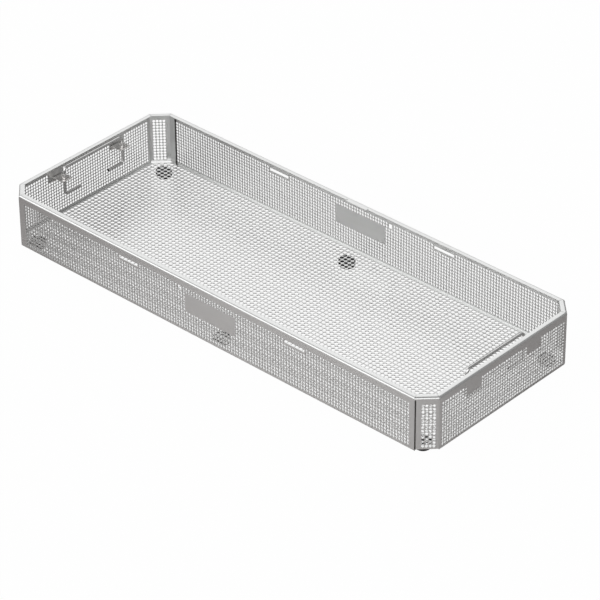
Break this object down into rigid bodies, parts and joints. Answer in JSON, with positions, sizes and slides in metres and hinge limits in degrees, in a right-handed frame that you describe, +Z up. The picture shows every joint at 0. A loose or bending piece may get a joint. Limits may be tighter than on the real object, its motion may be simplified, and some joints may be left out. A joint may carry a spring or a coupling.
{
  "type": "perforated steel instrument basket",
  "caption": "Long shallow perforated sheet-steel basket with cut corners, a turned-in rim, a sliding wire handle inside each end and round rubber feet.",
  "frame": {"origin": "on the table under the middle of the basket, at the bottom of the feet", "axes": "+X along the basket towards the right handle, +Y towards the back wall, +Z up"},
  "size_m": [0.54, 0.212, 0.0657],
  "materials": {
    "sheet_steel": "satin electropolished",
    "wire_steel": "satin",
    "foot_rubber": "matt"
  },
  "bodies": {
    "basket": {"basket_body": "sheet_steel", "left_front_bracket": "wire_steel", "left_back_bracket": "wire_steel", "right_front_bracket": "wire_steel", "right_back_bracket": "wire_steel", "left_front_guide_ring": "wire_steel", "left_back_guide_ring": "wire_steel", "right_front_guide_ring": "wire_steel", "right_back_guide_ring": "wire_steel", "left_front_foot": "foot_rubber", "left_back_foot": "foot_rubber", "middle_front_foot": "foot_rubber", "middle_back_foot": "foot_rubber", "right_front_foot": "foot_rubber", "right_back_foot": "foot_rubber"},
    "left_handle": {"left_handle": "wire_steel"},
    "right_handle": {"right_handle": "wire_steel"}
  },
  "joints": [
    {"name": "left_handle_slide", "type": "slide", "parent": "basket", "child": "left_handle", "axis": [0, 0, 1], "range_m": [0, 0.013]},
    {"name": "right_handle_slide", "type": "slide", "parent": "basket", "child": "right_handle", "axis": [0, 0, 1], "range_m": [0, 0.013]}
  ]
}
